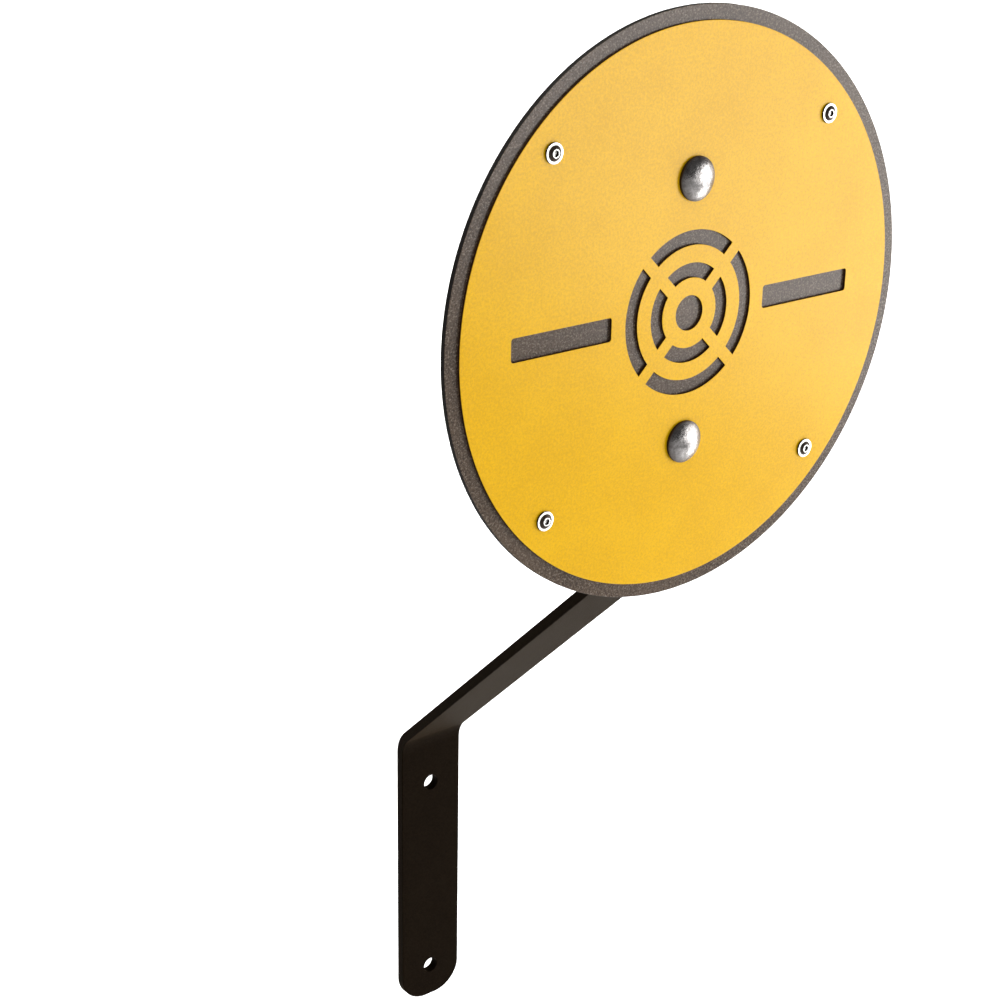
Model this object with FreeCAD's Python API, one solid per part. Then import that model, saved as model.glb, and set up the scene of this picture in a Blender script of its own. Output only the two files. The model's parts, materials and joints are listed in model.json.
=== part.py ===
import FreeCAD, Part
import itertools
import math
import os

# A round steel target on a cranked flat-bar arm that bolts to a wall or a rig upright.
# Millimetres, +Z up. The target faces -Y and the wall is on the +Y side. The origin is midway
# between the two wall holes, on the face of the arm that lies against the wall.

# --- arm: one flat bar, bent twice, so that the target stands off the wall ---
BAR_WIDTH = 60.0
BAR_THICK = 8.0
BAR_EDGE_R = 0.8
END_CORNER_R = 25.0
END_MARGIN = 30.0          # centre of an end hole to the end of the bar
BEND_INNER_R = 24.0
STAND_OFF = 282.0          # wall face of the lower leg to the back face of the upper leg
SLOPE_DEG = 44.0           # the sloping run, measured from horizontal
BEND_ABOVE_HOLE = 45.0     # upper wall hole to the corner of the lower bend, on the front face
WALL_HOLE_SPACING = 185.0
WALL_HOLE_DIA = 14.0

# --- target: a backing disc with a smaller face plate on it ---
DISC_DIA = 400.0
DISC_THICK = 4.0
FACE_DIA = 380.0
FACE_THICK = 2.0
PLATE_CHAMFER = 0.35
TARGET_ABOVE_ORIGIN = 577.5

# --- bullseye cut through the face plate, so that the disc behind shows ---
DOT_DIA = 24.0
RING_INNER_RADII = (24.0, 46.0)
RING_BAND = 10.0
BRIDGE_WIDTH = 9.0
BRIDGE_ANGLES = (45.0, 135.0)
BAR_CUT_HEIGHT = 16.0
BAR_CUT_START = 68.0
BAR_CUT_END = 150.0
BAR_CUT_CORNER_R = 2.0

# --- M12 cup-head square-neck bolts: target to arm ---
CUP_SPACING = 180.0
CUP_SHANK_DIA = 11.8
CUP_HEAD_DIA = 29.5
CUP_HEAD_HEIGHT = 6.5
CUP_RIM_HEIGHT = 1.8
CUP_NECK_SIDE = 12.0
CUP_NECK_HEIGHT = 8.0
CUP_LENGTH = 35.0
SQUARE_HOLE_SIDE = 12.5

# --- M6 flanged button-head socket screws: face plate to disc ---
SCREW_SQUARE = 240.0
SCREW_SHANK_DIA = 5.8
SCREW_FLANGE_DIA = 13.4
SCREW_FLANGE_THICK = 1.5
SCREW_DOME_DIA = 10.2
SCREW_HEAD_HEIGHT = 3.3
SCREW_SOCKET_FLATS = 4.0
SCREW_SOCKET_DEPTH = 2.1
SCREW_LENGTH = 16.0
SCREW_HOLE_DIA = 6.6

TIP_CHAMFER = 0.8

# --- washers and lock nuts behind the plates ---
# outer diameter, bore and thickness of a washer
CUP_WASHER = (24.0, 13.0, 2.5)
SCREW_WASHER = (12.0, 6.4, 1.6)
# bore, width across flats, height of the hexagon and height over the collar of a nut
CUP_NUT = (12.0, 18.0, 8.4, 12.0)
SCREW_NUT = (6.0, 10.0, 4.0, 6.0)
NUT_COLLAR_WALL = 0.06     # steel left round the nylon ring, over the width across flats
NUT_LIP = 0.5              # rolled edge that keeps the ring in
NUT_LIP_GAP = 0.6          # from the rolled edge to the bolt
RING_CLEARANCE = 0.05
NUT_TURN_STEP_DEG = 17.0   # each nut ends its tightening at another angle

OVERCUT = 1.0              # how far a cutting tool runs past the face that it cuts

# --- places that follow from the sizes above ---
ARM_FRONT = -(STAND_OFF + BAR_THICK)
DISC_FRONT = ARM_FRONT - DISC_THICK
FACE_FRONT = DISC_FRONT - FACE_THICK
ARM_BACK = -STAND_OFF
ARM_BOTTOM = -WALL_HOLE_SPACING / 2 - END_MARGIN
ARM_TOP = TARGET_ABOVE_ORIGIN + CUP_SPACING / 2 + END_MARGIN

UP_AND_DOWN = {"upper": 1, "lower": -1}
LEFT_AND_RIGHT = {"left": -1, "right": 1}


def vector(x, y, z):
    return FreeCAD.Vector(x, y, z)


def facing_front(shape, x, y, z):
    """Turn a shape built along +Z so that it points to -Y, and put its origin at x, y, z."""
    shape.rotate(vector(0, 0, 0), vector(1, 0, 0), 90)
    shape.translate(vector(x, y, z))
    return shape


def facing_wall(shape, x, y, z):
    """Turn a shape built along +Z so that it points to +Y, and put its origin at x, y, z."""
    shape.rotate(vector(0, 0, 0), vector(1, 0, 0), -90)
    shape.translate(vector(x, y, z))
    return shape


def rod(dia, height, base=0.0):
    return Part.makeCylinder(dia / 2, height, vector(0, 0, base))


def square_rod(side, height, base=0.0):
    return Part.makeBox(side, side, height, vector(-side / 2, -side / 2, base))


def hex_rod(flats, height, base=0.0):
    """A hexagonal prism, its flats this far apart."""
    corner_r = flats / math.sqrt(3)
    corners = [
        vector(corner_r * math.cos(turn), corner_r * math.sin(turn), base)
        for turn in (math.radians(60 * step) for step in range(7))
    ]
    return Part.Face(Part.makePolygon(corners)).extrude(vector(0, 0, height))


def turned(profile):
    """Revolve a closed profile of (radius, height) points and edges about Z."""
    return Part.Face(Part.Wire(profile)).revolve(vector(0, 0, 0), vector(0, 0, 1), 360)


def line(start, end):
    """An edge between two (radius, height) points."""
    return Part.LineSegment(vector(start[0], 0, start[1]), vector(end[0], 0, end[1])).toShape()


def dome_edge(edge_radius, edge_height, top_height):
    """The arc of a round head, from its edge to its top on the axis, level at the top."""
    rise = top_height - edge_height
    sphere_r = (edge_radius ** 2 + rise ** 2) / (2 * rise)
    half_turn = math.asin(edge_radius / sphere_r) / 2
    middle_radius = sphere_r * math.sin(half_turn)
    middle_height = top_height - sphere_r * (1 - math.cos(half_turn))
    return Part.Arc(
        vector(edge_radius, 0, edge_height),
        vector(middle_radius, 0, middle_height),
        vector(0, 0, top_height),
    ).toShape()


def domed_head(radius, rim_height, height):
    """A round head that stands on z = 0, with a short upright rim under its dome."""
    return turned([
        line((0, 0), (radius, 0)),
        line((radius, 0), (radius, rim_height)),
        dome_edge(radius, rim_height, height),
        line((0, height), (0, 0)),
    ])


def chamfered_tip(dia, length):
    """A shank that runs from z = 0 down to -length, chamfered at its tip."""
    radius = dia / 2
    return turned([
        line((0, 0), (radius, 0)),
        line((radius, 0), (radius, TIP_CHAMFER - length)),
        line((radius, TIP_CHAMFER - length), (radius - TIP_CHAMFER, -length)),
        line((radius - TIP_CHAMFER, -length), (0, -length)),
        line((0, -length), (0, 0)),
    ])


# --- the arm ---

def bent_edges(points, radii):
    """Straight edges through (y, z) points, with a tangent arc at each inner point."""
    edges = []
    start = vector(0, *points[0])
    for index, radius in enumerate(radii):
        corner = vector(0, *points[index + 1])
        back = (vector(0, *points[index]) - corner).normalize()
        ahead = (vector(0, *points[index + 2]) - corner).normalize()
        half_angle = back.getAngle(ahead) / 2
        reach = radius / math.tan(half_angle)
        bisector = (back + ahead).normalize()
        middle = corner + bisector * (radius / math.sin(half_angle) - radius)
        arc_start = corner + back * reach
        arc_end = corner + ahead * reach
        edges.append(Part.LineSegment(start, arc_start).toShape())
        edges.append(Part.Arc(arc_start, middle, arc_end).toShape())
        start = arc_end
    edges.append(Part.LineSegment(start, vector(0, *points[-1])).toShape())
    return edges


def arm_outline():
    """The bar seen from its side: a front line and a back line, closed at both ends."""
    rise = STAND_OFF * math.tan(math.radians(SLOPE_DEG))
    corner_shift = BAR_THICK * math.tan(math.radians(90 - SLOPE_DEG) / 2)
    bend_low = WALL_HOLE_SPACING / 2 + BEND_ABOVE_HOLE
    outer_r = BEND_INNER_R + BAR_THICK
    front = [
        (-BAR_THICK, ARM_BOTTOM),
        (-BAR_THICK, bend_low),
        (ARM_FRONT, bend_low + rise),
        (ARM_FRONT, ARM_TOP),
    ]
    back = [
        (0.0, ARM_BOTTOM),
        (0.0, bend_low + corner_shift),
        (ARM_BACK, bend_low + rise + corner_shift),
        (ARM_BACK, ARM_TOP),
    ]
    edges = bent_edges(front, (BEND_INNER_R, outer_r))
    edges += bent_edges(back, (outer_r, BEND_INNER_R))
    for front_end, back_end in ((front[0], back[0]), (front[-1], back[-1])):
        edges.append(Part.LineSegment(vector(0, *front_end), vector(0, *back_end)).toShape())
    return Part.Wire(Part.__sortEdges__(edges))


def is_end_corner(edge):
    """An edge through the bar's thickness, at one of the four corners of its ends."""
    first, last = (corner.Point for corner in edge.Vertexes)
    at_an_end = any(abs(first.z - end) < 0.01 for end in (ARM_BOTTOM, ARM_TOP))
    return at_an_end and abs(first.z - last.z) < 0.01 and abs(edge.Length - BAR_THICK) < 0.01


def is_seam(edge):
    """An edge where a bend or a rounded corner runs smoothly into a flat, so nothing is sharp."""
    return min(abs(edge.Length - BAR_WIDTH), abs(edge.Length - BAR_THICK)) < 0.01


def crank_arm():
    bar = Part.Face(arm_outline()).extrude(vector(BAR_WIDTH, 0, 0))
    bar.translate(vector(-BAR_WIDTH / 2, 0, 0))
    bar = bar.makeFillet(END_CORNER_R, [edge for edge in bar.Edges if is_end_corner(edge)])
    bar = bar.makeFillet(BAR_EDGE_R, [edge for edge in bar.Edges if not is_seam(edge)])
    for side in UP_AND_DOWN.values():
        hole = rod(WALL_HOLE_DIA, BAR_THICK + 2 * OVERCUT, -OVERCUT)
        bar = bar.cut(facing_front(hole, 0, 0, side * WALL_HOLE_SPACING / 2))
        bar = bar.cut(square_cut(side, BAR_THICK, ARM_FRONT))
    return bar


# --- the two plates of the target ---

def square_cut(side, depth, front):
    """The square hole for a cup bolt's neck, cut back from a plate's front face."""
    tool = square_rod(SQUARE_HOLE_SIDE, depth + 2 * OVERCUT, -OVERCUT)
    return facing_wall(tool, 0, front, TARGET_ABOVE_ORIGIN + side * CUP_SPACING / 2)


def round_plate(dia, thick, front):
    """A disc with chamfered edges, with every bolt and screw hole in it."""
    plate = rod(dia, thick)
    rims = [edge for edge in plate.Edges if isinstance(edge.Curve, Part.Circle)]
    plate = plate.makeChamfer(PLATE_CHAMFER, rims)
    plate = facing_wall(plate, 0, front, TARGET_ABOVE_ORIGIN)
    for up in UP_AND_DOWN.values():
        plate = plate.cut(square_cut(up, thick, front))
        for across in LEFT_AND_RIGHT.values():
            hole = rod(SCREW_HOLE_DIA, thick + 2 * OVERCUT, -OVERCUT)
            x = across * SCREW_SQUARE / 2
            z = TARGET_ABOVE_ORIGIN + up * SCREW_SQUARE / 2
            plate = plate.cut(facing_wall(hole, x, front, z))
    return plate


def backing_disc():
    return round_plate(DISC_DIA, DISC_THICK, DISC_FRONT)


def bullseye_cutters(depth):
    """The dot, the broken rings and the two side bars, standing on z = 0 before they are placed."""
    cutters = [rod(DOT_DIA, depth)]
    for inner_r in RING_INNER_RADII:
        outer_dia = 2 * (inner_r + RING_BAND)
        ring = rod(outer_dia, depth).cut(rod(2 * inner_r, depth))
        for angle in BRIDGE_ANGLES:
            corner = vector(-outer_dia / 2, -BRIDGE_WIDTH / 2, 0)
            bridge = Part.makeBox(outer_dia, BRIDGE_WIDTH, depth, corner)
            bridge.rotate(vector(0, 0, 0), vector(0, 0, 1), angle)
            ring = ring.cut(bridge)
        cutters += ring.Solids
    length = BAR_CUT_END - BAR_CUT_START
    for start in (BAR_CUT_START, -BAR_CUT_END):
        bar = Part.makeBox(length, BAR_CUT_HEIGHT, depth, vector(start, -BAR_CUT_HEIGHT / 2, 0))
        upright = [edge for edge in bar.Edges if abs(edge.Length - depth) < 0.01]
        cutters.append(bar.makeFillet(BAR_CUT_CORNER_R, upright))
    return cutters


def face_plate():
    plate = round_plate(FACE_DIA, FACE_THICK, FACE_FRONT)
    for cutter in bullseye_cutters(FACE_THICK + 2 * OVERCUT):
        plate = plate.cut(facing_wall(cutter, 0, FACE_FRONT - OVERCUT, TARGET_ABOVE_ORIGIN))
    return plate


# --- fasteners, each built along Z with the face that it clamps at z = 0 ---

def cup_bolt():
    head = domed_head(CUP_HEAD_DIA / 2, CUP_RIM_HEIGHT, CUP_HEAD_HEIGHT)
    neck = square_rod(CUP_NECK_SIDE, CUP_NECK_HEIGHT, -CUP_NECK_HEIGHT)
    return head.fuse(neck).fuse(chamfered_tip(CUP_SHANK_DIA, CUP_LENGTH)).removeSplitter()


def plate_screw():
    flange = rod(SCREW_FLANGE_DIA, SCREW_FLANGE_THICK)
    dome = domed_head(SCREW_DOME_DIA / 2, SCREW_FLANGE_THICK, SCREW_HEAD_HEIGHT)
    screw = flange.fuse(dome).fuse(chamfered_tip(SCREW_SHANK_DIA, SCREW_LENGTH)).removeSplitter()
    socket_floor = SCREW_HEAD_HEIGHT - SCREW_SOCKET_DEPTH
    return screw.cut(hex_rod(SCREW_SOCKET_FLATS, SCREW_SOCKET_DEPTH + OVERCUT, socket_floor))


def washer(outer_dia, bore_dia, thick):
    return rod(outer_dia, thick).cut(rod(bore_dia, thick))


def corner_overhang(flats):
    """How far a hexagon's corners stand out past its flats."""
    return flats / math.sqrt(3) - flats / 2


def ring_seat_dia(flats):
    """The bore of a nut's collar, which the nylon ring sits in."""
    return flats - corner_overhang(flats) - 2 * NUT_COLLAR_WALL * flats


def lock_nut(bore_dia, flats, hex_height, height):
    """A hexagon with chamfered corners and a round collar, which holds a nylon ring."""
    chamfer = corner_overhang(flats)
    corner_r = flats / 2 + chamfer
    envelope = turned([
        line((0, 0), (flats / 2, 0)),
        line((flats / 2, 0), (corner_r, chamfer / 2)),
        line((corner_r, chamfer / 2), (corner_r, hex_height - chamfer / 2)),
        line((corner_r, hex_height - chamfer / 2), (flats / 2, hex_height)),
        line((flats / 2, hex_height), (0, hex_height)),
        line((0, hex_height), (0, 0)),
    ])
    nut = hex_rod(flats, hex_height).common(envelope)
    nut = nut.fuse(rod(flats - chamfer, height)).removeSplitter()
    nut = nut.cut(rod(bore_dia, height))
    nut = nut.cut(rod(ring_seat_dia(flats), height - NUT_LIP - hex_height, hex_height))
    return nut.cut(rod(bore_dia + 2 * NUT_LIP_GAP, NUT_LIP, height - NUT_LIP))


def nylon_ring(bore_dia, flats, hex_height, height):
    outer_dia = ring_seat_dia(flats) - 2 * RING_CLEARANCE
    thick = height - NUT_LIP - hex_height - 2 * RING_CLEARANCE
    base = hex_height + RING_CLEARANCE
    return rod(outer_dia, thick, base).cut(rod(bore_dia, thick, base))


def set_behind(prefix, place, washer_size, nut_size, seat, turn):
    """The washer, the lock nut and its nylon ring on one bolt, from a seat on a plate's back."""
    x, back, z = seat
    nut_seat = back + washer_size[2]
    nut = lock_nut(*nut_size)
    nut.rotate(vector(0, 0, 0), vector(0, 0, 1), turn)
    return {
        f"{prefix}_washer_{place}": facing_wall(washer(*washer_size), x, back, z),
        f"{prefix}_nut_{place}": facing_wall(nut, x, nut_seat, z),
        f"{prefix}_nut_ring_{place}": facing_wall(nylon_ring(*nut_size), x, nut_seat, z),
    }


def cup_bolts():
    """The two bolts that hold the target to the arm, with what is on them."""
    nodes = {}
    for index, (place, up) in enumerate(UP_AND_DOWN.items()):
        z = TARGET_ABOVE_ORIGIN + up * CUP_SPACING / 2
        turn = index * NUT_TURN_STEP_DEG
        nodes[f"cup_bolt_{place}"] = facing_front(cup_bolt(), 0, FACE_FRONT, z)
        nodes.update(set_behind("cup", place, CUP_WASHER, CUP_NUT, (0, ARM_BACK, z), turn))
    return nodes


def plate_screws():
    """The four screws that hold the face plate to the disc, with what is on them."""
    nodes = {}
    places = itertools.product(UP_AND_DOWN.items(), LEFT_AND_RIGHT.items())
    for index, ((up_name, up), (side_name, side)) in enumerate(places):
        x = side * SCREW_SQUARE / 2
        z = TARGET_ABOVE_ORIGIN + up * SCREW_SQUARE / 2
        place = f"{up_name}_{side_name}"
        turn = index * NUT_TURN_STEP_DEG
        nodes[f"plate_screw_{place}"] = facing_front(plate_screw(), x, FACE_FRONT, z)
        nodes.update(set_behind("plate", place, SCREW_WASHER, SCREW_NUT, (x, ARM_FRONT, z), turn))
    return nodes


def all_nodes():
    nodes = {
        "crank_arm": crank_arm(),
        "backing_disc": backing_disc(),
        "face_plate": face_plate(),
    }
    nodes.update(cup_bolts())
    nodes.update(plate_screws())
    return nodes


os.makedirs("parts", exist_ok=True)
for node, shape in all_nodes().items():
    print(f"{node}: {len(shape.Solids)} solid, valid {shape.isValid()}, {shape.Volume / 1000:.2f} cm3")
    shape.exportStep(f"parts/{node}.step")
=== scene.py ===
import json
import math

import bmesh
import bpy
from mathutils import Matrix, Vector


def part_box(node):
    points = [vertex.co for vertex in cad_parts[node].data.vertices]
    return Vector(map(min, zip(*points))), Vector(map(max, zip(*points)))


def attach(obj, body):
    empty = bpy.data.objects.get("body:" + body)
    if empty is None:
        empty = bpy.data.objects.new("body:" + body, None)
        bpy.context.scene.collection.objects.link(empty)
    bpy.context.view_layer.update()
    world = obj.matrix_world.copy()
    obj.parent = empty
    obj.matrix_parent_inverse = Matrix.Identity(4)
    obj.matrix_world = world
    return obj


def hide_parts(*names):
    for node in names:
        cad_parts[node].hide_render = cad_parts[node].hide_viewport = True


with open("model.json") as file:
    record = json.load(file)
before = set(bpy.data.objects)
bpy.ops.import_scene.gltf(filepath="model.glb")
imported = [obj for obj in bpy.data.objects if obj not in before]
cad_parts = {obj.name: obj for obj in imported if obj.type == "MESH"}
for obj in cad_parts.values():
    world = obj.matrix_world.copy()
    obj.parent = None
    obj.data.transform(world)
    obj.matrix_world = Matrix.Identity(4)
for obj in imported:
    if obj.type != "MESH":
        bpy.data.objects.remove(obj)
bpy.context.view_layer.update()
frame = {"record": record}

# All sizes are in metres. The target faces -Y, the wall is on the +Y side and +Z is up.
MM = 0.001

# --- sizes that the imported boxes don't give ---

# the arm
BAR_THICK = 8.0 * MM
BAR_EDGE_R = 0.8 * MM
END_CORNER_R = 25.0 * MM
END_MARGIN = 30.0 * MM         # from each end of the bar to the nearest hole
BEND_MIDDLE_R = 28.0 * MM      # to the middle of the bar's thickness
BEND_STEPS = 32                # the slices that the mesh of a bend is cut into
FLAT_STEPS = 6                 # and those of a straight run
SLOPE = math.radians(44.0)
BEND_ABOVE_HOLE = 45.0 * MM    # from the upper wall hole to the corner of the lower bend
WALL_HOLE_R = 7.0 * MM

# the plates, and the holes that they share with the arm
PLATE_EDGE_R = 0.35 * MM
PLATE_SEGMENTS = 576
HOLE_EDGE_R = 0.2 * MM
SQUARE_HOLE_SIDE = 12.5 * MM
SQUARE_HOLE_CORNER_R = 0.5 * MM
SCREW_HOLE_R = 3.3 * MM

# the design cut through the face plate
DOT_R = 12.0 * MM
RING_INNER_RADII = (24.0 * MM, 46.0 * MM)
RING_BAND = 10.0 * MM
BRIDGE_WIDTH = 9.0 * MM
BAR_CUT_HEIGHT = 16.0 * MM
BAR_CUT_START = 68.0 * MM
BAR_CUT_END = 150.0 * MM
BAR_CUT_CORNER_R = 2.0 * MM

# the cup bolts
CUP_SEGMENTS = 72
CUP_HEAD_R = 14.75 * MM
CUP_HEAD_HEIGHT = 6.5 * MM
CUP_DOME_STEPS = 22
CUP_RIM_HEIGHT = 1.8 * MM
CUP_LIP = 0.25 * MM            # how far the dome stops short of the rim
CUP_SEAT_EDGE = 0.15 * MM
CUP_NECK_SIDE = 12.0 * MM
CUP_NECK_HEIGHT = 8.0 * MM
CUP_NECK_CORNER_SHARE = 0.94   # how far out the neck's corners reach, of a full square's
CUP_NECK_TAPER = 0.8 * MM
CUP_LENGTH = 35.0 * MM
CUP_THREAD = (5.9 * MM, 5.0 * MM, 1.75 * MM)      # crest radius, root radius, pitch

# the plate screws
SCREW_SEGMENTS = 48
SCREW_FLANGE_R = 6.7 * MM
SCREW_FLANGE_THICK = 1.5 * MM
SCREW_FLANGE_EDGE = 0.2 * MM
SCREW_DOME_R = 5.1 * MM
SCREW_DOME_STEPS = 10
SCREW_HEAD_HEIGHT = 3.3 * MM
SCREW_SOCKET_FLATS = 4.0 * MM
SCREW_SOCKET_DEPTH = 2.1 * MM
SCREW_SOCKET_CONE = 0.35 * MM  # the drill point under the socket's floor
SCREW_SOCKET_CHAMFER = 0.35 * MM
SCREW_CHAMFER_SLOPE = 0.12
SCREW_LENGTH = 16.0 * MM
SCREW_THREAD = (2.9 * MM, 2.4 * MM, 1.0 * MM)

# the threads
THREAD_SAMPLES = 12            # rings of points in each turn
THREAD_LEAD_IN = 0.5 * MM
THREAD_CREST_POWER = 0.8       # below 1, the crests are broader than the roots
THREAD_TIP_SHARE = 0.86        # the radius of the tip, of the root's

# the washers: outer radius, bore radius, thickness
WASHER_SEGMENTS = 96
WASHER_EDGE_SHARE = 0.12       # of the thickness
CUP_WASHER = (12.0 * MM, 6.5 * MM, 2.5 * MM)
SCREW_WASHER = (6.0 * MM, 3.2 * MM, 1.6 * MM)

# the lock nuts: bore radius, width across flats, height of the hexagon, height over the collar
NUT_SEGMENTS = 96
CUP_NUT = (6.0 * MM, 18.0 * MM, 8.4 * MM, 12.0 * MM)
SCREW_NUT = (3.0 * MM, 10.0 * MM, 4.0 * MM, 6.0 * MM)
NUT_CHAMFER_SLOPE = math.tan(math.radians(30))
NUT_FACE_SHARE = 0.97          # the flat end of the hexagon, of the width across flats
NUT_COUNTERSINK_SHARE = 0.06   # of the width across flats
NUT_COLLAR_WALL = 0.06         # of the width across flats
NUT_LIP = 0.5 * MM
NUT_LIP_GAP = 0.6 * MM
NUT_LIP_ROLL = 0.7             # the roundness of the lip, of its height
RING_CLEARANCE = 0.05 * MM
RING_EDGE = 0.15 * MM
NUT_TURN_STEP = math.radians(17.0)

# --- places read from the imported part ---
arm_low, arm_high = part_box("crank_arm")
disc_low, disc_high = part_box("backing_disc")
face_low, face_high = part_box("face_plate")
TARGET = Vector((0.0, face_low.y, (face_low.z + face_high.z) / 2))
DISC_R = (disc_high.z - disc_low.z) / 2
FACE_R = (face_high.z - face_low.z) / 2
CUP_OUT = (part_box("cup_bolt_upper")[0].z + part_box("cup_bolt_upper")[1].z) / 2 - TARGET.z
SCREW_OUT = (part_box("plate_screw_upper_right")[0].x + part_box("plate_screw_upper_right")[1].x) / 2
WALL_HOLE_OUT = frame["record"]["mounts"][0]["dims"]["spacing_y_mm"] * MM / 2

UP_AND_DOWN = {"upper": 1, "lower": -1}
LEFT_AND_RIGHT = {"left": -1, "right": 1}

SHARP_ANGLE = math.radians(32.0)


# ---------------------------------------------------------------- meshes

def finish_mesh(bm, name):
    """Turn a bmesh into an object that is smooth where it is round and crisp where it is cut."""
    bmesh.ops.remove_doubles(bm, verts=bm.verts, dist=1e-6)
    bmesh.ops.dissolve_degenerate(bm, edges=bm.edges, dist=1e-7)
    bmesh.ops.recalc_face_normals(bm, faces=bm.faces)
    mesh = bpy.data.meshes.new(name)
    bm.to_mesh(mesh)
    bm.free()
    mesh.shade_smooth()
    mesh.set_sharp_from_angle(angle=SHARP_ANGLE)
    piece = bpy.data.objects.new(name, mesh)
    bpy.context.scene.collection.objects.link(piece)
    weigh = piece.modifiers.new("even_normals", "WEIGHTED_NORMAL")
    weigh.keep_sharp = True
    return piece


def install(piece, node, material):
    """Let a piece stand for a CAD node, in the finish of a material slot."""
    piece.data.materials.append(material)
    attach(piece, "root")
    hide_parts(node)


def arc_points(centre, radius, start, end, steps):
    """Points on an arc from one angle to another, both included."""
    turns = (start + (end - start) * step / steps for step in range(steps + 1))
    return [(centre[0] + radius * math.cos(turn), centre[1] + radius * math.sin(turn)) for turn in turns]


def circle(centre, radius, steps):
    """Points all round a circle, the first one not repeated."""
    return arc_points(centre, radius, 0, 2 * math.pi * (steps - 1) / steps, steps - 1)


def rounded_box(low, high, radius, steps=8):
    """A rectangle with round corners, from its lower left corner to its upper right one."""
    left, right = low[0] + radius, high[0] - radius
    bottom, top = low[1] + radius, high[1] - radius
    points = []
    for quarter, centre in enumerate(((right, top), (left, top), (left, bottom), (right, bottom))):
        start = quarter * math.pi / 2
        points += arc_points(centre, radius, start, start + math.pi / 2, steps)
    return points


def inset(points, distance):
    """Move a closed outline to its left by this distance, keeping its corners."""
    moved = []
    corners = [Vector(point) for point in points]
    for before, here, after in zip([corners[-1], *corners], corners, [*corners[1:], corners[0]]):
        arriving = (here - before).normalized()
        leaving = (after - here).normalized()
        left = Vector((-arriving.y, arriving.x))
        mitre = (left + Vector((-leaving.y, leaving.x))).normalized()
        moved.append(here + mitre * (distance / mitre.dot(left)))
    return moved


def rounded_edge(thick, edge_r, steps=4):
    """How far in and how high each line round a plate's edge is, from its front face to its back face."""
    turns = [math.pi / 2 * step / steps for step in range(steps + 1)]
    front = [(edge_r * (1 - math.sin(turn)), thick / 2 - edge_r * (1 - math.cos(turn))) for turn in turns]
    return front + [(distance, -height) for distance, height in reversed(front)]


def sheet_metal(thick, outlines):
    """A flat plate in the XY plane, centred on z = 0. Each outline comes with the radius of its edges.

    The first outline is the plate's own, and the others are holes in it.
    """
    bm = bmesh.new()
    front_edges = []
    back_edges = []
    for index, (points, edge_r) in enumerate(outlines):
        into_metal = 1 if index == 0 else -1
        loops = []
        for distance, height in rounded_edge(thick, edge_r):
            loops.append([bm.verts.new((x, y, height)) for x, y in inset(points, distance * into_metal)])
        onward = [*range(1, len(points)), 0]
        for upper, lower in zip(loops, loops[1:]):
            for here, there in enumerate(onward):
                bm.faces.new((upper[here], upper[there], lower[there], lower[here]))
        for loop, edges in ((loops[0], front_edges), (loops[-1], back_edges)):
            edges += [bm.edges.get((loop[here], loop[there])) for here, there in enumerate(onward)]
    for edges in (front_edges, back_edges):
        bmesh.ops.triangle_fill(bm, edges=edges, use_beauty=True)
    return bm


def ring(radius, z, segments):
    return [(radius, z)] * segments


def polygon_ring(sides, flats, z, segments, corner_share=1.0):
    """A ring that follows a regular polygon, its corners cut back to a circle."""
    points = []
    limit = flats / 2 / math.cos(math.pi / sides) * corner_share
    for step in range(segments):
        turn = 2 * math.pi * step / segments
        from_flat = (turn + math.pi / sides) % (2 * math.pi / sides) - math.pi / sides
        points.append((min(flats / 2 / math.cos(from_flat), limit), z))
    return points


def skin(rings):
    """Join rings of (radius, z) points about Z, first to last. A ring of radius 0 closes to a point."""
    bm = bmesh.new()
    loops = []
    for points in rings:
        loop = []
        for step, (radius, z) in enumerate(points):
            turn = 2 * math.pi * step / len(points)
            loop.append(bm.verts.new((radius * math.cos(turn), radius * math.sin(turn), z)))
        loops.append(loop)
    for upper, lower in zip(loops, loops[1:]):
        for here, there in zip(range(len(upper)), [*range(1, len(upper)), 0]):
            bm.faces.new((upper[here], upper[there], lower[there], lower[here]))
    return bm


def tube(rings):
    """Join rings about Z into a closed hoop, the last ring to the first."""
    return skin([*rings, rings[0]])


def place(bm, x, y, z, towards_wall, turn=0.0):
    """Put a mesh built along +Z at x, y, z, so that its +Z points to the wall or to the front."""
    tilt = -math.pi / 2 if towards_wall else math.pi / 2
    spin = Matrix.Rotation(turn, 4, "Z")
    bm.transform(Matrix.Translation((x, y, z)) @ Matrix.Rotation(tilt, 4, "X") @ spin)


# ---------------------------------------------------------------- materials

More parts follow.
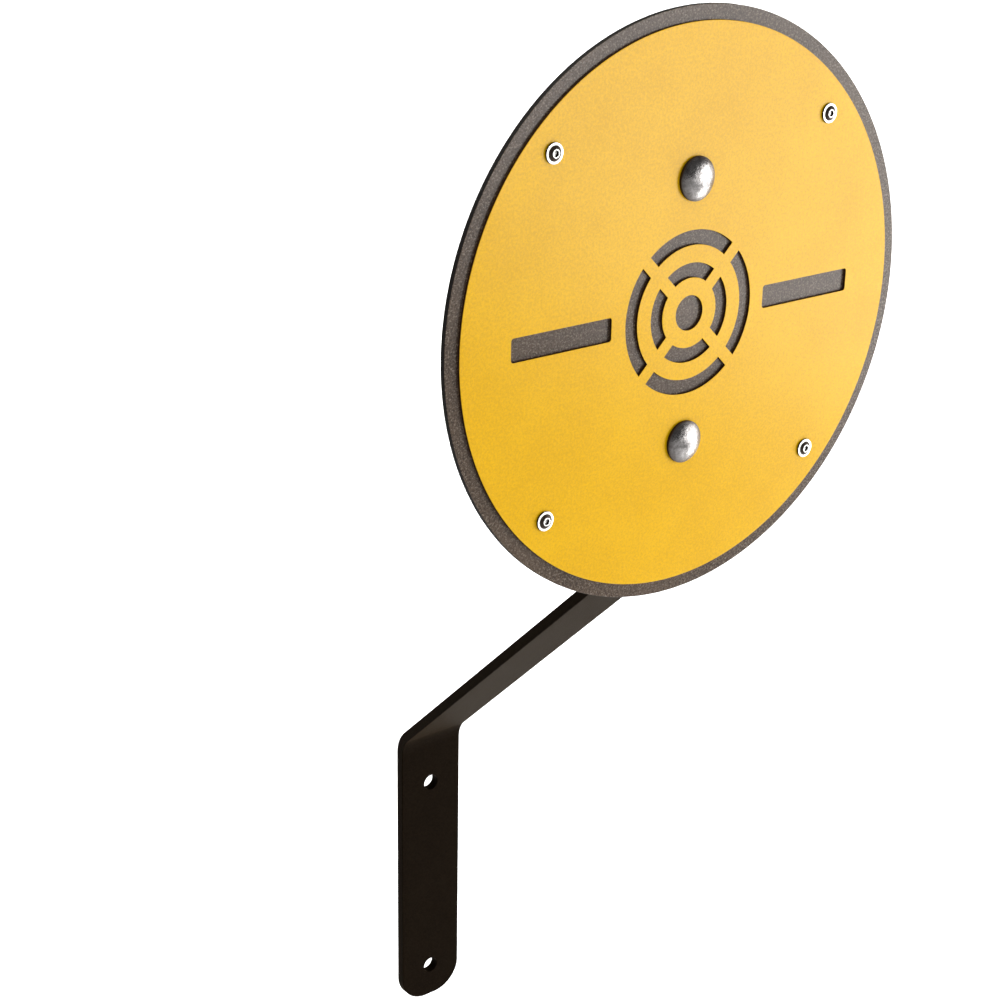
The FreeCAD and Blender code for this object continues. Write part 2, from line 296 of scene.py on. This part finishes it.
class Shader:
    """A node tree with one Principled shader, and short ways to add the nodes that the finishes share."""

    def __init__(self, name, **settings):
        self.material = bpy.data.materials.new(name)
        self.material.use_nodes = True
        self.tree = self.material.node_tree
        self.shader = self.tree.nodes["Principled BSDF"]
        self.position = self.add("ShaderNodeTexCoord").outputs["Object"]
        for socket, value in settings.items():
            self.shader.inputs[socket.replace("_", " ")].default_value = value

    def add(self, kind, **settings):
        node = self.tree.nodes.new(kind)
        for key, value in settings.items():
            setattr(node, key, value)
        return node

    def wire(self, source, target):
        self.tree.links.new(source, target)

    def noise(self, size, detail=3.0, roughness=0.55, stretch=None):
        """Noise whose grains are about this wide, in metres."""
        node = self.add("ShaderNodeTexNoise")
        node.inputs["Scale"].default_value = 1 / size
        node.inputs["Detail"].default_value = detail
        node.inputs["Roughness"].default_value = roughness
        source = self.position
        if stretch:
            mapping = self.add("ShaderNodeMapping")
            mapping.inputs["Scale"].default_value = stretch
            self.wire(source, mapping.inputs["Vector"])
            source = mapping.outputs["Vector"]
        self.wire(source, node.inputs["Vector"])
        return node.outputs["Fac"]

    def span(self, value, low, high, start=0.3, end=0.7):
        """Map a noise value from its useful stretch to low..high."""
        node = self.add("ShaderNodeMapRange")
        self.wire(value, node.inputs["Value"])
        for socket, number in (("From Min", start), ("From Max", end), ("To Min", low), ("To Max", high)):
            node.inputs[socket].default_value = number
        return node.outputs["Result"]

    def math(self, operation, first, second):
        node = self.add("ShaderNodeMath", operation=operation)
        for socket, value in zip(node.inputs, (first, second)):
            if isinstance(value, (int, float)):
                socket.default_value = value
            else:
                self.wire(value, socket)
        return node.outputs["Value"]

    def facing_y(self):
        """How squarely the surface faces along Y, from 0 to 1."""
        split = self.add("ShaderNodeSeparateXYZ")
        self.wire(self.add("ShaderNodeNewGeometry").outputs["Normal"], split.inputs["Vector"])
        return self.math("ABSOLUTE", split.outputs["Y"], 0.0)

    def mix(self, share, first, second):
        """Blend two colours by a share from 0 to 1."""
        node = self.add("ShaderNodeMix", data_type="RGBA")
        self.wire(share, node.inputs["Factor"])
        for name, value in (("A", first), ("B", second)):
            socket = next(s for s in node.inputs if s.name == name and s.type == "RGBA")
            if isinstance(value, tuple):
                socket.default_value = (*value, 1.0)
            else:
                self.wire(value, socket)
        return next(s for s in node.outputs if s.type == "RGBA")

    def bump(self, height, depth, normal=None):
        node = self.add("ShaderNodeBump")
        node.inputs["Distance"].default_value = depth
        self.wire(height, node.inputs["Height"])
        if normal is not None:
            self.wire(normal, node.inputs["Normal"])
        return node.outputs["Normal"]

    def finish(self, colour=None, roughness=None, normal=None):
        for socket, value in (("Base Color", colour), ("Roughness", roughness), ("Normal", normal)):
            if value is not None:
                self.wire(value, self.shader.inputs[socket])
        return self.material


PEBBLE_SIZE = 1.7 * MM
PEBBLE_DEPTH = 0.06 * MM
PEBBLE_SHARE = 0.8             # of the coat's mottling, and the clouds have the rest
GRAIN_SIZE = 0.6 * MM
GRAIN_DEPTH = 0.02 * MM
GRAIN_ROUGHNESS = 0.06         # how far the grain changes the roughness each way
CLOUD_SIZE = 45.0 * MM
MOTTLE_SPAN = (0.40, 0.60)
FLECK_SIZE = 1.3 * MM
FLECK_SOFTNESS = 0.12
EDGE_SHADE_SPAN = (0.35, 0.75)
CUT_EDGE_ROUGHNESS = 0.85


def powder_coat(name, dark, light, fleck, fleck_share, edge, roughness, **settings):
    """Fine-textured powder coat: pebbled and mottled, with flecks, and dull on cut edges, which are painted
    dark as painted shade.
    """
    coat = Shader(name, **settings)
    pebble = coat.noise(PEBBLE_SIZE, detail=4.0, roughness=0.7)
    grain = coat.noise(GRAIN_SIZE, detail=2.0, roughness=0.7)
    cloud = coat.noise(CLOUD_SIZE, detail=4.0)
    shade = coat.math(
        "ADD", coat.math("MULTIPLY", pebble, PEBBLE_SHARE), coat.math("MULTIPLY", cloud, 1.0 - PEBBLE_SHARE))
    colour = coat.mix(coat.span(shade, 0.0, 1.0, *MOTTLE_SPAN), dark, light)
    spots = coat.noise(FLECK_SIZE, detail=2.0)
    fleck_start = 1.0 - fleck_share
    colour = coat.mix(coat.span(spots, 0.0, 1.0, fleck_start, fleck_start + FLECK_SOFTNESS), colour, fleck)
    rough = coat.span(grain, roughness - GRAIN_ROUGHNESS, roughness + GRAIN_ROUGHNESS)
    if edge:
        # painted shade: faces that turn away from Y, the plates' sides and the walls of their holes and
        # cut-outs, get the dark edge colour as if unlit
        cut = coat.span(coat.facing_y(), 1.0, 0.0, *EDGE_SHADE_SPAN)
        colour = coat.mix(cut, colour, edge)
        rough = coat.math("MAXIMUM", rough, coat.math("MULTIPLY", cut, CUT_EDGE_ROUGHNESS))
    normal = coat.bump(pebble, PEBBLE_DEPTH)
    normal = coat.bump(grain, GRAIN_DEPTH, normal)
    return coat.finish(colour, rough, normal)


HAZE_SIZE = 2.4 * MM
HAZE_DEPTH = 0.16 * MM
HAZE_ROUGHNESS = 0.08
SCUFF_SIZE = 0.9 * MM
SCUFF_DEPTH = 0.13 * MM
SCUFF_ROUGHNESS = 0.14
SCUFF_SPAN = (0.5, 0.7)
FLAT_HIGHLIGHT_SPAN = (0.985, 0.995)
LEVEL_ROUGHNESS = 0.5
SIDE_ROUGHNESS = 0.45


def zinc_plate(name, dull, bright, polish, side=None, side_shade_span=None, flat=None):
    """Zinc over steel: clear reflections, with scuffs and a milky haze.

    Sides that face across the bolt may take a darker colour, which is painted shade and painted dark
    reflection, and flats that face along it a matt, lighter one, which is a painted highlight. The side's
    span says how squarely a surface faces along the bolt where the painted shade is full and where it ends.
    """
    zinc = Shader(name, Metallic=1.0)
    haze = zinc.noise(HAZE_SIZE, detail=5.0, roughness=0.6)
    scuff = zinc.noise(SCUFF_SIZE, detail=6.0, roughness=0.75, stretch=(1.0, 1.0, 0.3))
    colour = zinc.mix(zinc.span(haze, 0.0, 1.0), dull, bright)
    haze_rough = zinc.span(haze, polish, polish + HAZE_ROUGHNESS)
    rough = zinc.math("ADD", haze_rough, zinc.span(scuff, 0.0, SCUFF_ROUGHNESS, *SCUFF_SPAN))
    if flat:
        # painted highlight: flats that face along the bolt, such as the screw flanges, get a lighter matt
        # colour
        level = zinc.span(zinc.facing_y(), 0.0, 1.0, *FLAT_HIGHLIGHT_SPAN)
        colour = zinc.mix(level, colour, flat)
        rough = zinc.math("MAXIMUM", rough, zinc.math("MULTIPLY", level, LEVEL_ROUGHNESS))
    if side:
        # painted shade and painted dark reflection on surfaces that face across the bolt
        across = zinc.span(zinc.facing_y(), 1.0, 0.0, *side_shade_span)
        colour = zinc.mix(across, colour, side)
        rough = zinc.math("MAXIMUM", rough, zinc.math("MULTIPLY", across, SIDE_ROUGHNESS))
    normal = zinc.bump(haze, HAZE_DEPTH)
    normal = zinc.bump(scuff, SCUFF_DEPTH, normal)
    return zinc.finish(colour, rough, normal)


def nylon():
    """The natural nylon of a lock nut's ring."""
    plastic = Shader("nylon", Subsurface_Weight=0.15, Specular_IOR_Level=0.4)
    grain = plastic.noise(0.8 * MM)
    colour = plastic.mix(plastic.span(grain, 0.0, 1.0), (0.66, 0.66, 0.60), (0.80, 0.80, 0.75))
    return plastic.finish(colour, plastic.span(grain, 0.35, 0.5), plastic.bump(grain, 0.02 * MM))


# the edge colours of the yellow and grey coats are painted shade on the plates' side faces
YELLOW_COAT = powder_coat(
    "yellow_powder_coat", (0.74, 0.40, 0.001), (0.89, 0.51, 0.002), (0.93, 0.585, 0.008), 0.34,
    edge=(0.035, 0.010, 0.001), roughness=0.22, Specular_IOR_Level=0.215)
GREY_COAT = powder_coat(
    "grey_powder_coat", (0.044, 0.028, 0.018), (0.118, 0.082, 0.057), (0.20, 0.156, 0.118), 0.47,
    edge=(0.008, 0.006, 0.004), roughness=0.22, Specular_IOR_Level=0.23)
DARK_COAT = powder_coat(
    "dark_powder_coat", (0.0048, 0.0026, 0.0012), (0.0092, 0.0056, 0.0028), (0.020, 0.013, 0.007), 0.30,
    edge=None, roughness=0.70, Specular_IOR_Level=0.02, Specular_Tint=(1.0, 0.80, 0.60, 1.0),
    Sheen_Weight=0.045, Sheen_Roughness=0.35, Sheen_Tint=(1.0, 0.70, 0.40, 1.0))
# painted shade: the dark colour that the heads' sides, the cup domes' outer ring and the screw domes get in
# place of shade and dark reflections
SIDE_SHADE = (0.045, 0.034, 0.028)
CUP_ZINC = zinc_plate(
    "cup_zinc", (0.16, 0.150, 0.145), (0.42, 0.400, 0.390), 0.06, side=SIDE_SHADE, side_shade_span=(0.80, 0.94))
# the screws' flat colour is a painted highlight on the flanges, and their side colour painted shade on the
# domes
SCREW_ZINC = zinc_plate(
    "screw_zinc", (0.60, 0.59, 0.57), (0.80, 0.79, 0.77), 0.12, side=SIDE_SHADE, side_shade_span=(0.955, 0.975),
    flat=(0.93, 0.92, 0.89))
NUT_ZINC = zinc_plate("nut_zinc", (0.60, 0.59, 0.58), (0.84, 0.83, 0.82), 0.14)
NYLON = nylon()


# ---------------------------------------------------------------- the arm

def square_hole(middle):
    """The outline of a cup bolt's hole, centred this far along Y."""
    half_side = SQUARE_HOLE_SIDE / 2
    low = (-half_side, middle - half_side)
    return rounded_box(low, (half_side, middle + half_side), SQUARE_HOLE_CORNER_R, 4)


def arm_path():
    """The middle line of the bar from its lower end, as straight runs and bends: (curvature, length)."""
    middle_shift = BAR_THICK * math.tan((math.pi / 2 - SLOPE) / 2) / 2
    out = arm_low.y + BAR_THICK / 2
    rise = (out + BAR_THICK / 2) * -math.tan(SLOPE)
    low_corner = WALL_HOLE_OUT + BEND_ABOVE_HOLE + middle_shift
    reach = BEND_MIDDLE_R * math.tan((math.pi / 2 - SLOPE) / 2)
    slope_run = rise / math.sin(SLOPE) - 2 * reach
    bend_length = BEND_MIDDLE_R * (math.pi / 2 - SLOPE)
    return [
        (0.0, low_corner - reach - arm_low.z),
        (1 / BEND_MIDDLE_R, bend_length),
        (0.0, slope_run),
        (-1 / BEND_MIDDLE_R, bend_length),
        (0.0, arm_high.z - (low_corner + rise) - reach),
    ]


def along_arm(path, distance):
    """The point (y, z) this far along the middle line, and the heading there, from vertical."""
    y, z, heading = -BAR_THICK / 2, arm_low.z, 0.0
    for index, (curvature, length) in enumerate(path):
        step = distance if index == len(path) - 1 else min(distance, length)
        if curvature:
            turned = heading + step * curvature
            y += (math.cos(turned) - math.cos(heading)) / curvature
            z += (math.sin(turned) - math.sin(heading)) / curvature
            heading = turned
        else:
            y -= math.sin(heading) * step
            z += math.cos(heading) * step
        distance -= step
        if distance <= 0:
            break
    return y, z, heading


def crank_arm():
    """The bar as it was cut, flat and with its holes, then bent along its middle line."""
    path = arm_path()
    end = sum(run for _, run in path) / 2
    low = Vector((-arm_high.x, -end))
    outlines = [(rounded_box(low, -low, END_CORNER_R, 24), BAR_EDGE_R)]
    for s in (END_MARGIN - end, END_MARGIN + 2 * WALL_HOLE_OUT - end):
        outlines.append((circle((0, s), WALL_HOLE_R, 64), HOLE_EDGE_R))
    outlines += [(square_hole(s), HOLE_EDGE_R) for s in (end - END_MARGIN, end - END_MARGIN - 2 * CUP_OUT)]
    bm = sheet_metal(BAR_THICK, outlines)
    cuts = []
    done = 0.0
    for curvature, run in path:
        if curvature:
            cuts += [done + run * step / BEND_STEPS for step in range(BEND_STEPS + 1)]
        else:
            cuts += [done + run * step / FLAT_STEPS for step in range(1, FLAT_STEPS)]
        done += run
    for cut in cuts:
        everything = bm.verts[:] + bm.edges[:] + bm.faces[:]
        bmesh.ops.bisect_plane(bm, geom=everything, plane_co=(0, cut - end, 0), plane_no=(0, 1, 0))
    for vert in bm.verts:
        x, s, t = vert.co
        y, z, heading = along_arm(path, s + end)
        vert.co = (x, y + t * math.cos(heading), z + t * math.sin(heading))
    return finish_mesh(bm, "arm")


# ---------------------------------------------------------------- the two plates

def bolt_holes():
    """The outlines of every hole that both plates share, about the target's centre."""
    holes = []
    for up in UP_AND_DOWN.values():
        holes.append(square_hole(up * CUP_OUT))
        for across in LEFT_AND_RIGHT.values():
            holes.append(circle((across * SCREW_OUT, up * SCREW_OUT), SCREW_HOLE_R, 48))
    return holes


def bullseye_cuts():
    """The dot, the four arcs of each ring and the two side bars."""
    cuts = [circle((0, 0), DOT_R, 96)]
    for inner_r in RING_INNER_RADII:
        outer_r = inner_r + RING_BAND
        for quarter in range(4):
            middle = quarter * math.pi / 2
            outer_half = math.pi / 4 - math.asin(BRIDGE_WIDTH / 2 / outer_r)
            inner_half = math.pi / 4 - math.asin(BRIDGE_WIDTH / 2 / inner_r)
            outer = arc_points((0, 0), outer_r, middle - outer_half, middle + outer_half, 48)
            inner = arc_points((0, 0), inner_r, middle + inner_half, middle - inner_half, 40)
            cuts.append(outer + inner)
    half = BAR_CUT_HEIGHT / 2
    for start, end in ((BAR_CUT_START, BAR_CUT_END), (-BAR_CUT_END, -BAR_CUT_START)):
        cuts.append(rounded_box((start, -half), (end, half), BAR_CUT_CORNER_R))
    return cuts


def round_plate(name, radius, box_low, box_high, holes):
    outlines = [(circle((0, 0), radius, PLATE_SEGMENTS), PLATE_EDGE_R)]
    outlines += [(hole, HOLE_EDGE_R) for hole in holes]
    bm = sheet_metal(box_high.y - box_low.y, outlines)
    # The plate was laid out with x to the right and y up, so it stands up facing the front.
    place(bm, 0, (box_low.y + box_high.y) / 2, TARGET.z, towards_wall=False)
    return finish_mesh(bm, name)


# ---------------------------------------------------------------- fasteners

def dome_height(radius, edge_r, edge_z, top_z):
    """The height of a round head at this radius. It is level at its top and ends at its edge."""
    rise = top_z - edge_z
    sphere_r = (edge_r ** 2 + rise ** 2) / (2 * rise)
    return top_z - sphere_r + math.sqrt(sphere_r ** 2 - radius ** 2)


def thread_rings(thread, start, length, segments):
    """Rings down a threaded shank that runs from z = -start to its chamfered tip at z = -length."""
    crest, root, pitch = thread
    rings = []
    count = round((length - start) / pitch * THREAD_SAMPLES)
    for step in range(count + 1):
        depth = start + (length - start) * step / count
        near_start = min(1.0, (depth - start) / pitch)
        tip_limit = root * THREAD_TIP_SHARE + (length - depth)
        points = []
        for k in range(segments):
            phase = (depth / pitch - k / segments) % 1.0
            wave = 0.5 + 0.5 * math.cos(2 * math.pi * phase)
            radius = root + (crest - root) * wave ** THREAD_CREST_POWER
            radius = crest + (radius - crest) * near_start
            points.append((min(radius, tip_limit), -depth))
        rings.append(points)
    rings.append(ring(0.0, -length, segments))
    return rings


def cup_bolt():
    """Cup head, square neck and threaded shank in one closed skin. The clamped face is at z = 0."""
    segments = CUP_SEGMENTS
    edge_r = CUP_HEAD_R - CUP_LIP
    edge_z = CUP_RIM_HEIGHT + CUP_LIP
    taper_z = -CUP_NECK_HEIGHT + CUP_NECK_TAPER
    rings = []
    for step in range(CUP_DOME_STEPS + 1):
        radius = edge_r * step / CUP_DOME_STEPS
        rings.append(ring(radius, dome_height(radius, edge_r, edge_z, CUP_HEAD_HEIGHT), segments))
    rings += [
        # the dome turns over into the rim
        ring(CUP_HEAD_R - 0.07 * MM, CUP_RIM_HEIGHT + 0.12 * MM, segments),
        ring(CUP_HEAD_R, CUP_RIM_HEIGHT - 0.1 * MM, segments),
        ring(CUP_HEAD_R, CUP_SEAT_EDGE, segments),
        ring(CUP_HEAD_R - CUP_SEAT_EDGE, 0.0, segments),
        polygon_ring(4, CUP_NECK_SIDE, 0.0, segments, CUP_NECK_CORNER_SHARE),
        polygon_ring(4, CUP_NECK_SIDE, taper_z, segments, CUP_NECK_CORNER_SHARE),
        ring(CUP_THREAD[0], -CUP_NECK_HEIGHT, segments),
    ]
    return skin(rings + thread_rings(CUP_THREAD, CUP_NECK_HEIGHT + THREAD_LEAD_IN, CUP_LENGTH, segments))


def plate_screw():
    """Flanged button head with a hexagon socket, and a threaded shank. The clamped face is at z = 0."""
    segments = SCREW_SEGMENTS
    edge = SCREW_FLANGE_EDGE
    socket_floor = SCREW_HEAD_HEIGHT - SCREW_SOCKET_DEPTH
    dome = (SCREW_DOME_R, SCREW_FLANGE_THICK, SCREW_HEAD_HEIGHT)
    wall = [radius for radius, _ in polygon_ring(6, SCREW_SOCKET_FLATS, 0.0, segments)]
    mouth_r = max(wall) + SCREW_SOCKET_CHAMFER
    mouth_z = dome_height(mouth_r, *dome)
    rings = [
        ring(0.0, socket_floor - SCREW_SOCKET_CONE, segments),
        [(radius * 0.9, socket_floor) for radius in wall],
        [(radius, socket_floor + 0.1 * MM) for radius in wall],
        [(radius, mouth_z - (mouth_r - radius) * SCREW_CHAMFER_SLOPE) for radius in wall],
    ]
    for step in range(SCREW_DOME_STEPS + 1):
        radius = mouth_r + (SCREW_DOME_R - mouth_r) * step / SCREW_DOME_STEPS
        rings.append(ring(radius, dome_height(radius, *dome), segments))
    rings += [
        ring(SCREW_DOME_R + 0.1 * MM, SCREW_FLANGE_THICK, segments),
        ring(SCREW_FLANGE_R - edge, SCREW_FLANGE_THICK, segments),
        ring(SCREW_FLANGE_R - edge * 0.3, SCREW_FLANGE_THICK - edge * 0.3, segments),
        ring(SCREW_FLANGE_R, SCREW_FLANGE_THICK - edge, segments),
        ring(SCREW_FLANGE_R, edge, segments),
        ring(SCREW_FLANGE_R - edge, 0.0, segments),
        ring(SCREW_THREAD[0], 0.0, segments),
    ]
    return skin(rings + thread_rings(SCREW_THREAD, THREAD_LEAD_IN, SCREW_LENGTH, segments))


def washer(size):
    """A flat washer with broken edges. Its seat is at z = 0."""
    segments = WASHER_SEGMENTS
    outer_r, bore_r, thick = size
    edge = WASHER_EDGE_SHARE * thick
    return tube([
        ring(bore_r, edge, segments),
        ring(bore_r + edge, 0.0, segments),
        ring(outer_r - edge, 0.0, segments),
        ring(outer_r, edge, segments),
        ring(outer_r, thick - edge, segments),
        ring(outer_r - edge * 0.3, thick - edge * 0.3, segments),
        ring(outer_r - edge, thick, segments),
        ring(bore_r + edge, thick, segments),
        ring(bore_r, thick - edge, segments),
    ])


def collar_radius(flats):
    """The collar is narrower than the hexagon by as much as the hexagon's corners stand out."""
    corner_overhang = flats / math.sqrt(3) - flats / 2
    return (flats - corner_overhang) / 2


def ring_seat_radius(flats):
    """The radius of the groove in the collar that holds the nylon ring."""
    return collar_radius(flats) - NUT_COLLAR_WALL * flats


def lock_nut(size):
    """A hexagon with chamfered corners and a rolled collar. Its seat is at z = 0."""
    segments = NUT_SEGMENTS
    bore_r, flats, hex_height, height = size
    wall = [radius for radius, _ in polygon_ring(6, flats, 0.0, segments)]
    face_r = flats / 2 * NUT_FACE_SHARE
    collar_r = collar_radius(flats)
    seat_r = ring_seat_radius(flats)
    lip_r = bore_r + NUT_LIP_GAP
    roll = NUT_LIP_ROLL * NUT_LIP
    countersink = NUT_COUNTERSINK_SHARE * flats
    return tube([
        ring(bore_r, countersink * 0.6, segments),
        ring(bore_r + countersink * 0.6, 0.0, segments),
        ring(face_r, 0.0, segments),
        [(radius, (radius - face_r) * NUT_CHAMFER_SLOPE) for radius in wall],
        [(radius, hex_height - (radius - face_r) * NUT_CHAMFER_SLOPE) for radius in wall],
        ring(face_r, hex_height, segments),
        ring(collar_r, hex_height + 0.1 * MM, segments),
        ring(collar_r, height - roll * 1.6, segments),
        ring(collar_r - roll * 0.4, height - roll * 0.7, segments),
        ring(collar_r - roll * 1.5, height, segments),
        ring(lip_r, height, segments),
        ring(lip_r, height - NUT_LIP, segments),
        ring(seat_r, height - NUT_LIP, segments),
        ring(seat_r, hex_height, segments),
        ring(bore_r, hex_height, segments),
    ])


def nylon_ring(size):
    """The ring that grips the thread, in its groove in a lock nut of this size."""
    segments = NUT_SEGMENTS
    bore_r, flats, hex_height, height = size
    outer_r = ring_seat_radius(flats) - RING_CLEARANCE
    low = hex_height + RING_CLEARANCE
    high = height - NUT_LIP - RING_CLEARANCE
    return tube([
        ring(bore_r, low + RING_EDGE, segments),
        ring(bore_r + RING_EDGE, low, segments),
        ring(outer_r, low, segments),
        ring(outer_r, high, segments),
        ring(bore_r + RING_EDGE, high, segments),
        ring(bore_r, high - RING_EDGE, segments),
    ])


def fasten(kind, bolt_name, bolt, finish, washer_size, nut_size, where, x, z, seat, turn):
    """One bolt or screw from the front, with its washer, lock nut and nylon ring behind."""
    place(bolt, x, TARGET.y, z, towards_wall=False, turn=turn)
    piece = finish_mesh(bolt, f"{bolt_name}_{where}_steel")
    install(piece, f"{bolt_name}_{where}", finish)
    parts = (
        ("washer", washer(washer_size), seat, "zinc", NUT_ZINC),
        ("nut", lock_nut(nut_size), seat + washer_size[2], "zinc", NUT_ZINC),
        ("nut_ring", nylon_ring(nut_size), seat + washer_size[2], "nylon", NYLON),
    )
    for part, bm, y, slot, material in parts:
        node = f"{kind}_{part}_{where}"
        place(bm, x, y, z, towards_wall=True, turn=turn)
        piece = finish_mesh(bm, f"{node}_fine")
        install(piece, node, material)


def all_fasteners():
    """The two cup bolts, then the four plate screws. No two of a kind are turned alike."""
    seat = arm_low.y + BAR_THICK
    for index, (where, up) in enumerate(UP_AND_DOWN.items()):
        turn = index * NUT_TURN_STEP
        z = TARGET.z + up * CUP_OUT
        fasten("cup", "cup_bolt", cup_bolt(), CUP_ZINC, CUP_WASHER, CUP_NUT, where, 0, z, seat, turn)
    index = 0
    for up_name, up in UP_AND_DOWN.items():
        for side_name, side in LEFT_AND_RIGHT.items():
            x = side * SCREW_OUT
            z = TARGET.z + up * SCREW_OUT
            where = f"{up_name}_{side_name}"
            turn = index * NUT_TURN_STEP
            fasten(
                "plate", "plate_screw", plate_screw(), SCREW_ZINC, SCREW_WASHER, SCREW_NUT, where,
                x, z, disc_high.y, turn)
            index += 1


# ---------------------------------------------------------------- stage, light and camera

FLOOR_HALF = 60.0
FLOOR_DROP = 0.9               # from the arm's lower end to the floor
FLOOR_CLOUD_SIZE = 0.4
FLOOR_COLOURS = ((0.90, 0.90, 0.90), (0.92, 0.92, 0.92))

ROOM_LIGHT = 0.18
ROOM_BACKDROP = 0.80           # how bright the room looks where the floor ends
SUN_POWER = 1.95
SUN_ANGLE = math.radians(50)
WASH_AT = (6.2, 7.4, 3.5)
WASH_AIM = (6.2, 7.4, 0.0)
WASH_SIZE = (13.0, 15.4)
WASH_POWER = 1060.0
WASH_SPREAD_DEG = 60
# each window's name, place from the centre of the target, size and power
WINDOWS = (
    ("window", Vector((2.33, -1.56, -0.06)), (3.0, 1.9), 68.0),
    ("low_window", Vector((1.37, -0.54, -0.86)), (0.7, 0.8), 8.0),
)


def area_light(name, location, aim, size, power, shape="RECTANGLE", spread_deg=180):
    """A lamp that shines from a place towards a point, and doesn't show itself."""
    data = bpy.data.lights.new(name, "AREA")
    data.shape = shape
    data.size, data.size_y = size
    data.energy = power
    data.spread = math.radians(spread_deg)
    lamp = bpy.data.objects.new(name, data)
    bpy.context.scene.collection.objects.link(lamp)
    lamp.location = location
    lamp.visible_camera = False
    lamp.rotation_mode = "QUATERNION"
    lamp.rotation_quaternion = (Vector(aim) - Vector(location)).to_track_quat("-Z", "Y")


def floor():
    """A plain pale floor, out to the horizon."""
    bm = bmesh.new()
    z = arm_low.z - FLOOR_DROP
    corners = ((-1, -1), (1, -1), (1, 1), (-1, 1))
    bm.faces.new([bm.verts.new((x * FLOOR_HALF, y * FLOOR_HALF, z)) for x, y in corners])
    mesh = bpy.data.meshes.new("floor")
    bm.to_mesh(mesh)
    bm.free()
    plane = bpy.data.objects.new("floor", mesh)
    bpy.context.scene.collection.objects.link(plane)
    paint = Shader("floor_paint", Roughness=0.9, Specular_IOR_Level=0.1)
    tone = paint.span(paint.noise(FLOOR_CLOUD_SIZE), 0.0, 1.0)
    mesh.materials.append(paint.finish(paint.mix(tone, *FLOOR_COLOURS)))


def studio():
    """Soft light from a window on the right and a small one below it, over a dim room.

    A soft sun and a wash of light whiten the floor, and the wash lies behind the target only.
    """
    world = bpy.data.worlds.new("studio")
    bpy.context.scene.world = world
    world.use_nodes = True
    tree = world.node_tree
    room = tree.nodes["Background"]
    room.inputs["Color"].default_value = (1.0, 1.0, 1.0, 1.0)
    seen = tree.nodes.new("ShaderNodeMapRange")
    seen.inputs["To Min"].default_value = ROOM_LIGHT
    seen.inputs["To Max"].default_value = ROOM_BACKDROP
    tree.links.new(tree.nodes.new("ShaderNodeLightPath").outputs["Is Camera Ray"], seen.inputs["Value"])
    tree.links.new(seen.outputs["Result"], room.inputs["Strength"])
    sun = bpy.data.lights.new("overhead", "SUN")
    sun.energy = SUN_POWER
    sun.angle = SUN_ANGLE
    bpy.context.scene.collection.objects.link(bpy.data.objects.new("overhead", sun))
    area_light("wash", WASH_AT, WASH_AIM, WASH_SIZE, WASH_POWER, spread_deg=WASH_SPREAD_DEG)
    for name, at, size, power in WINDOWS:
        area_light(name, TARGET + at, TARGET, size, power, shape="ELLIPSE")


CAMERA_AZIMUTH = math.radians(-38.27)
CAMERA_ELEVATION = math.radians(21.44)
CAMERA_ROLL = math.radians(0.93)
CAMERA_DISTANCE = 1.3136
CAMERA_LENS = 71.45
CAMERA_CLIP = (0.05, 200.0)
# where the camera looks, from the centre of the target, along its own right and up
AIM_RIGHT = -0.1252
AIM_UP = -0.1238


def camera():
    """A camera at the front left of the target, a little above it."""
    data = bpy.data.cameras.new("camera")
    data.lens = CAMERA_LENS
    data.clip_start, data.clip_end = CAMERA_CLIP
    holder = bpy.data.objects.new("camera", data)
    bpy.context.scene.collection.objects.link(holder)
    back = Vector((
        math.sin(CAMERA_AZIMUTH) * math.cos(CAMERA_ELEVATION),
        -math.cos(CAMERA_AZIMUTH) * math.cos(CAMERA_ELEVATION),
        math.sin(CAMERA_ELEVATION),
    ))
    level = Vector((0, 0, 1)).cross(back).normalized()
    upright = back.cross(level)
    right = level * math.cos(CAMERA_ROLL) + upright * math.sin(CAMERA_ROLL)
    up = upright * math.cos(CAMERA_ROLL) - level * math.sin(CAMERA_ROLL)
    place_at = TARGET + right * AIM_RIGHT + up * AIM_UP + back * CAMERA_DISTANCE
    turn = Matrix((right, up, back)).transposed().to_4x4()
    holder.matrix_world = Matrix.Translation(place_at) @ turn
    bpy.context.scene.camera = holder


camera()
floor()
studio()
install(crank_arm(), "crank_arm", DARK_COAT)
install(
    round_plate("disc", DISC_R, disc_low, disc_high, bolt_holes()),
    "backing_disc", GREY_COAT)
install(
    round_plate("target_face", FACE_R, face_low, face_high, [*bolt_holes(), *bullseye_cuts()]),
    "face_plate", YELLOW_COAT)
all_fasteners()
bpy.context.scene.view_settings.view_transform = "Standard"
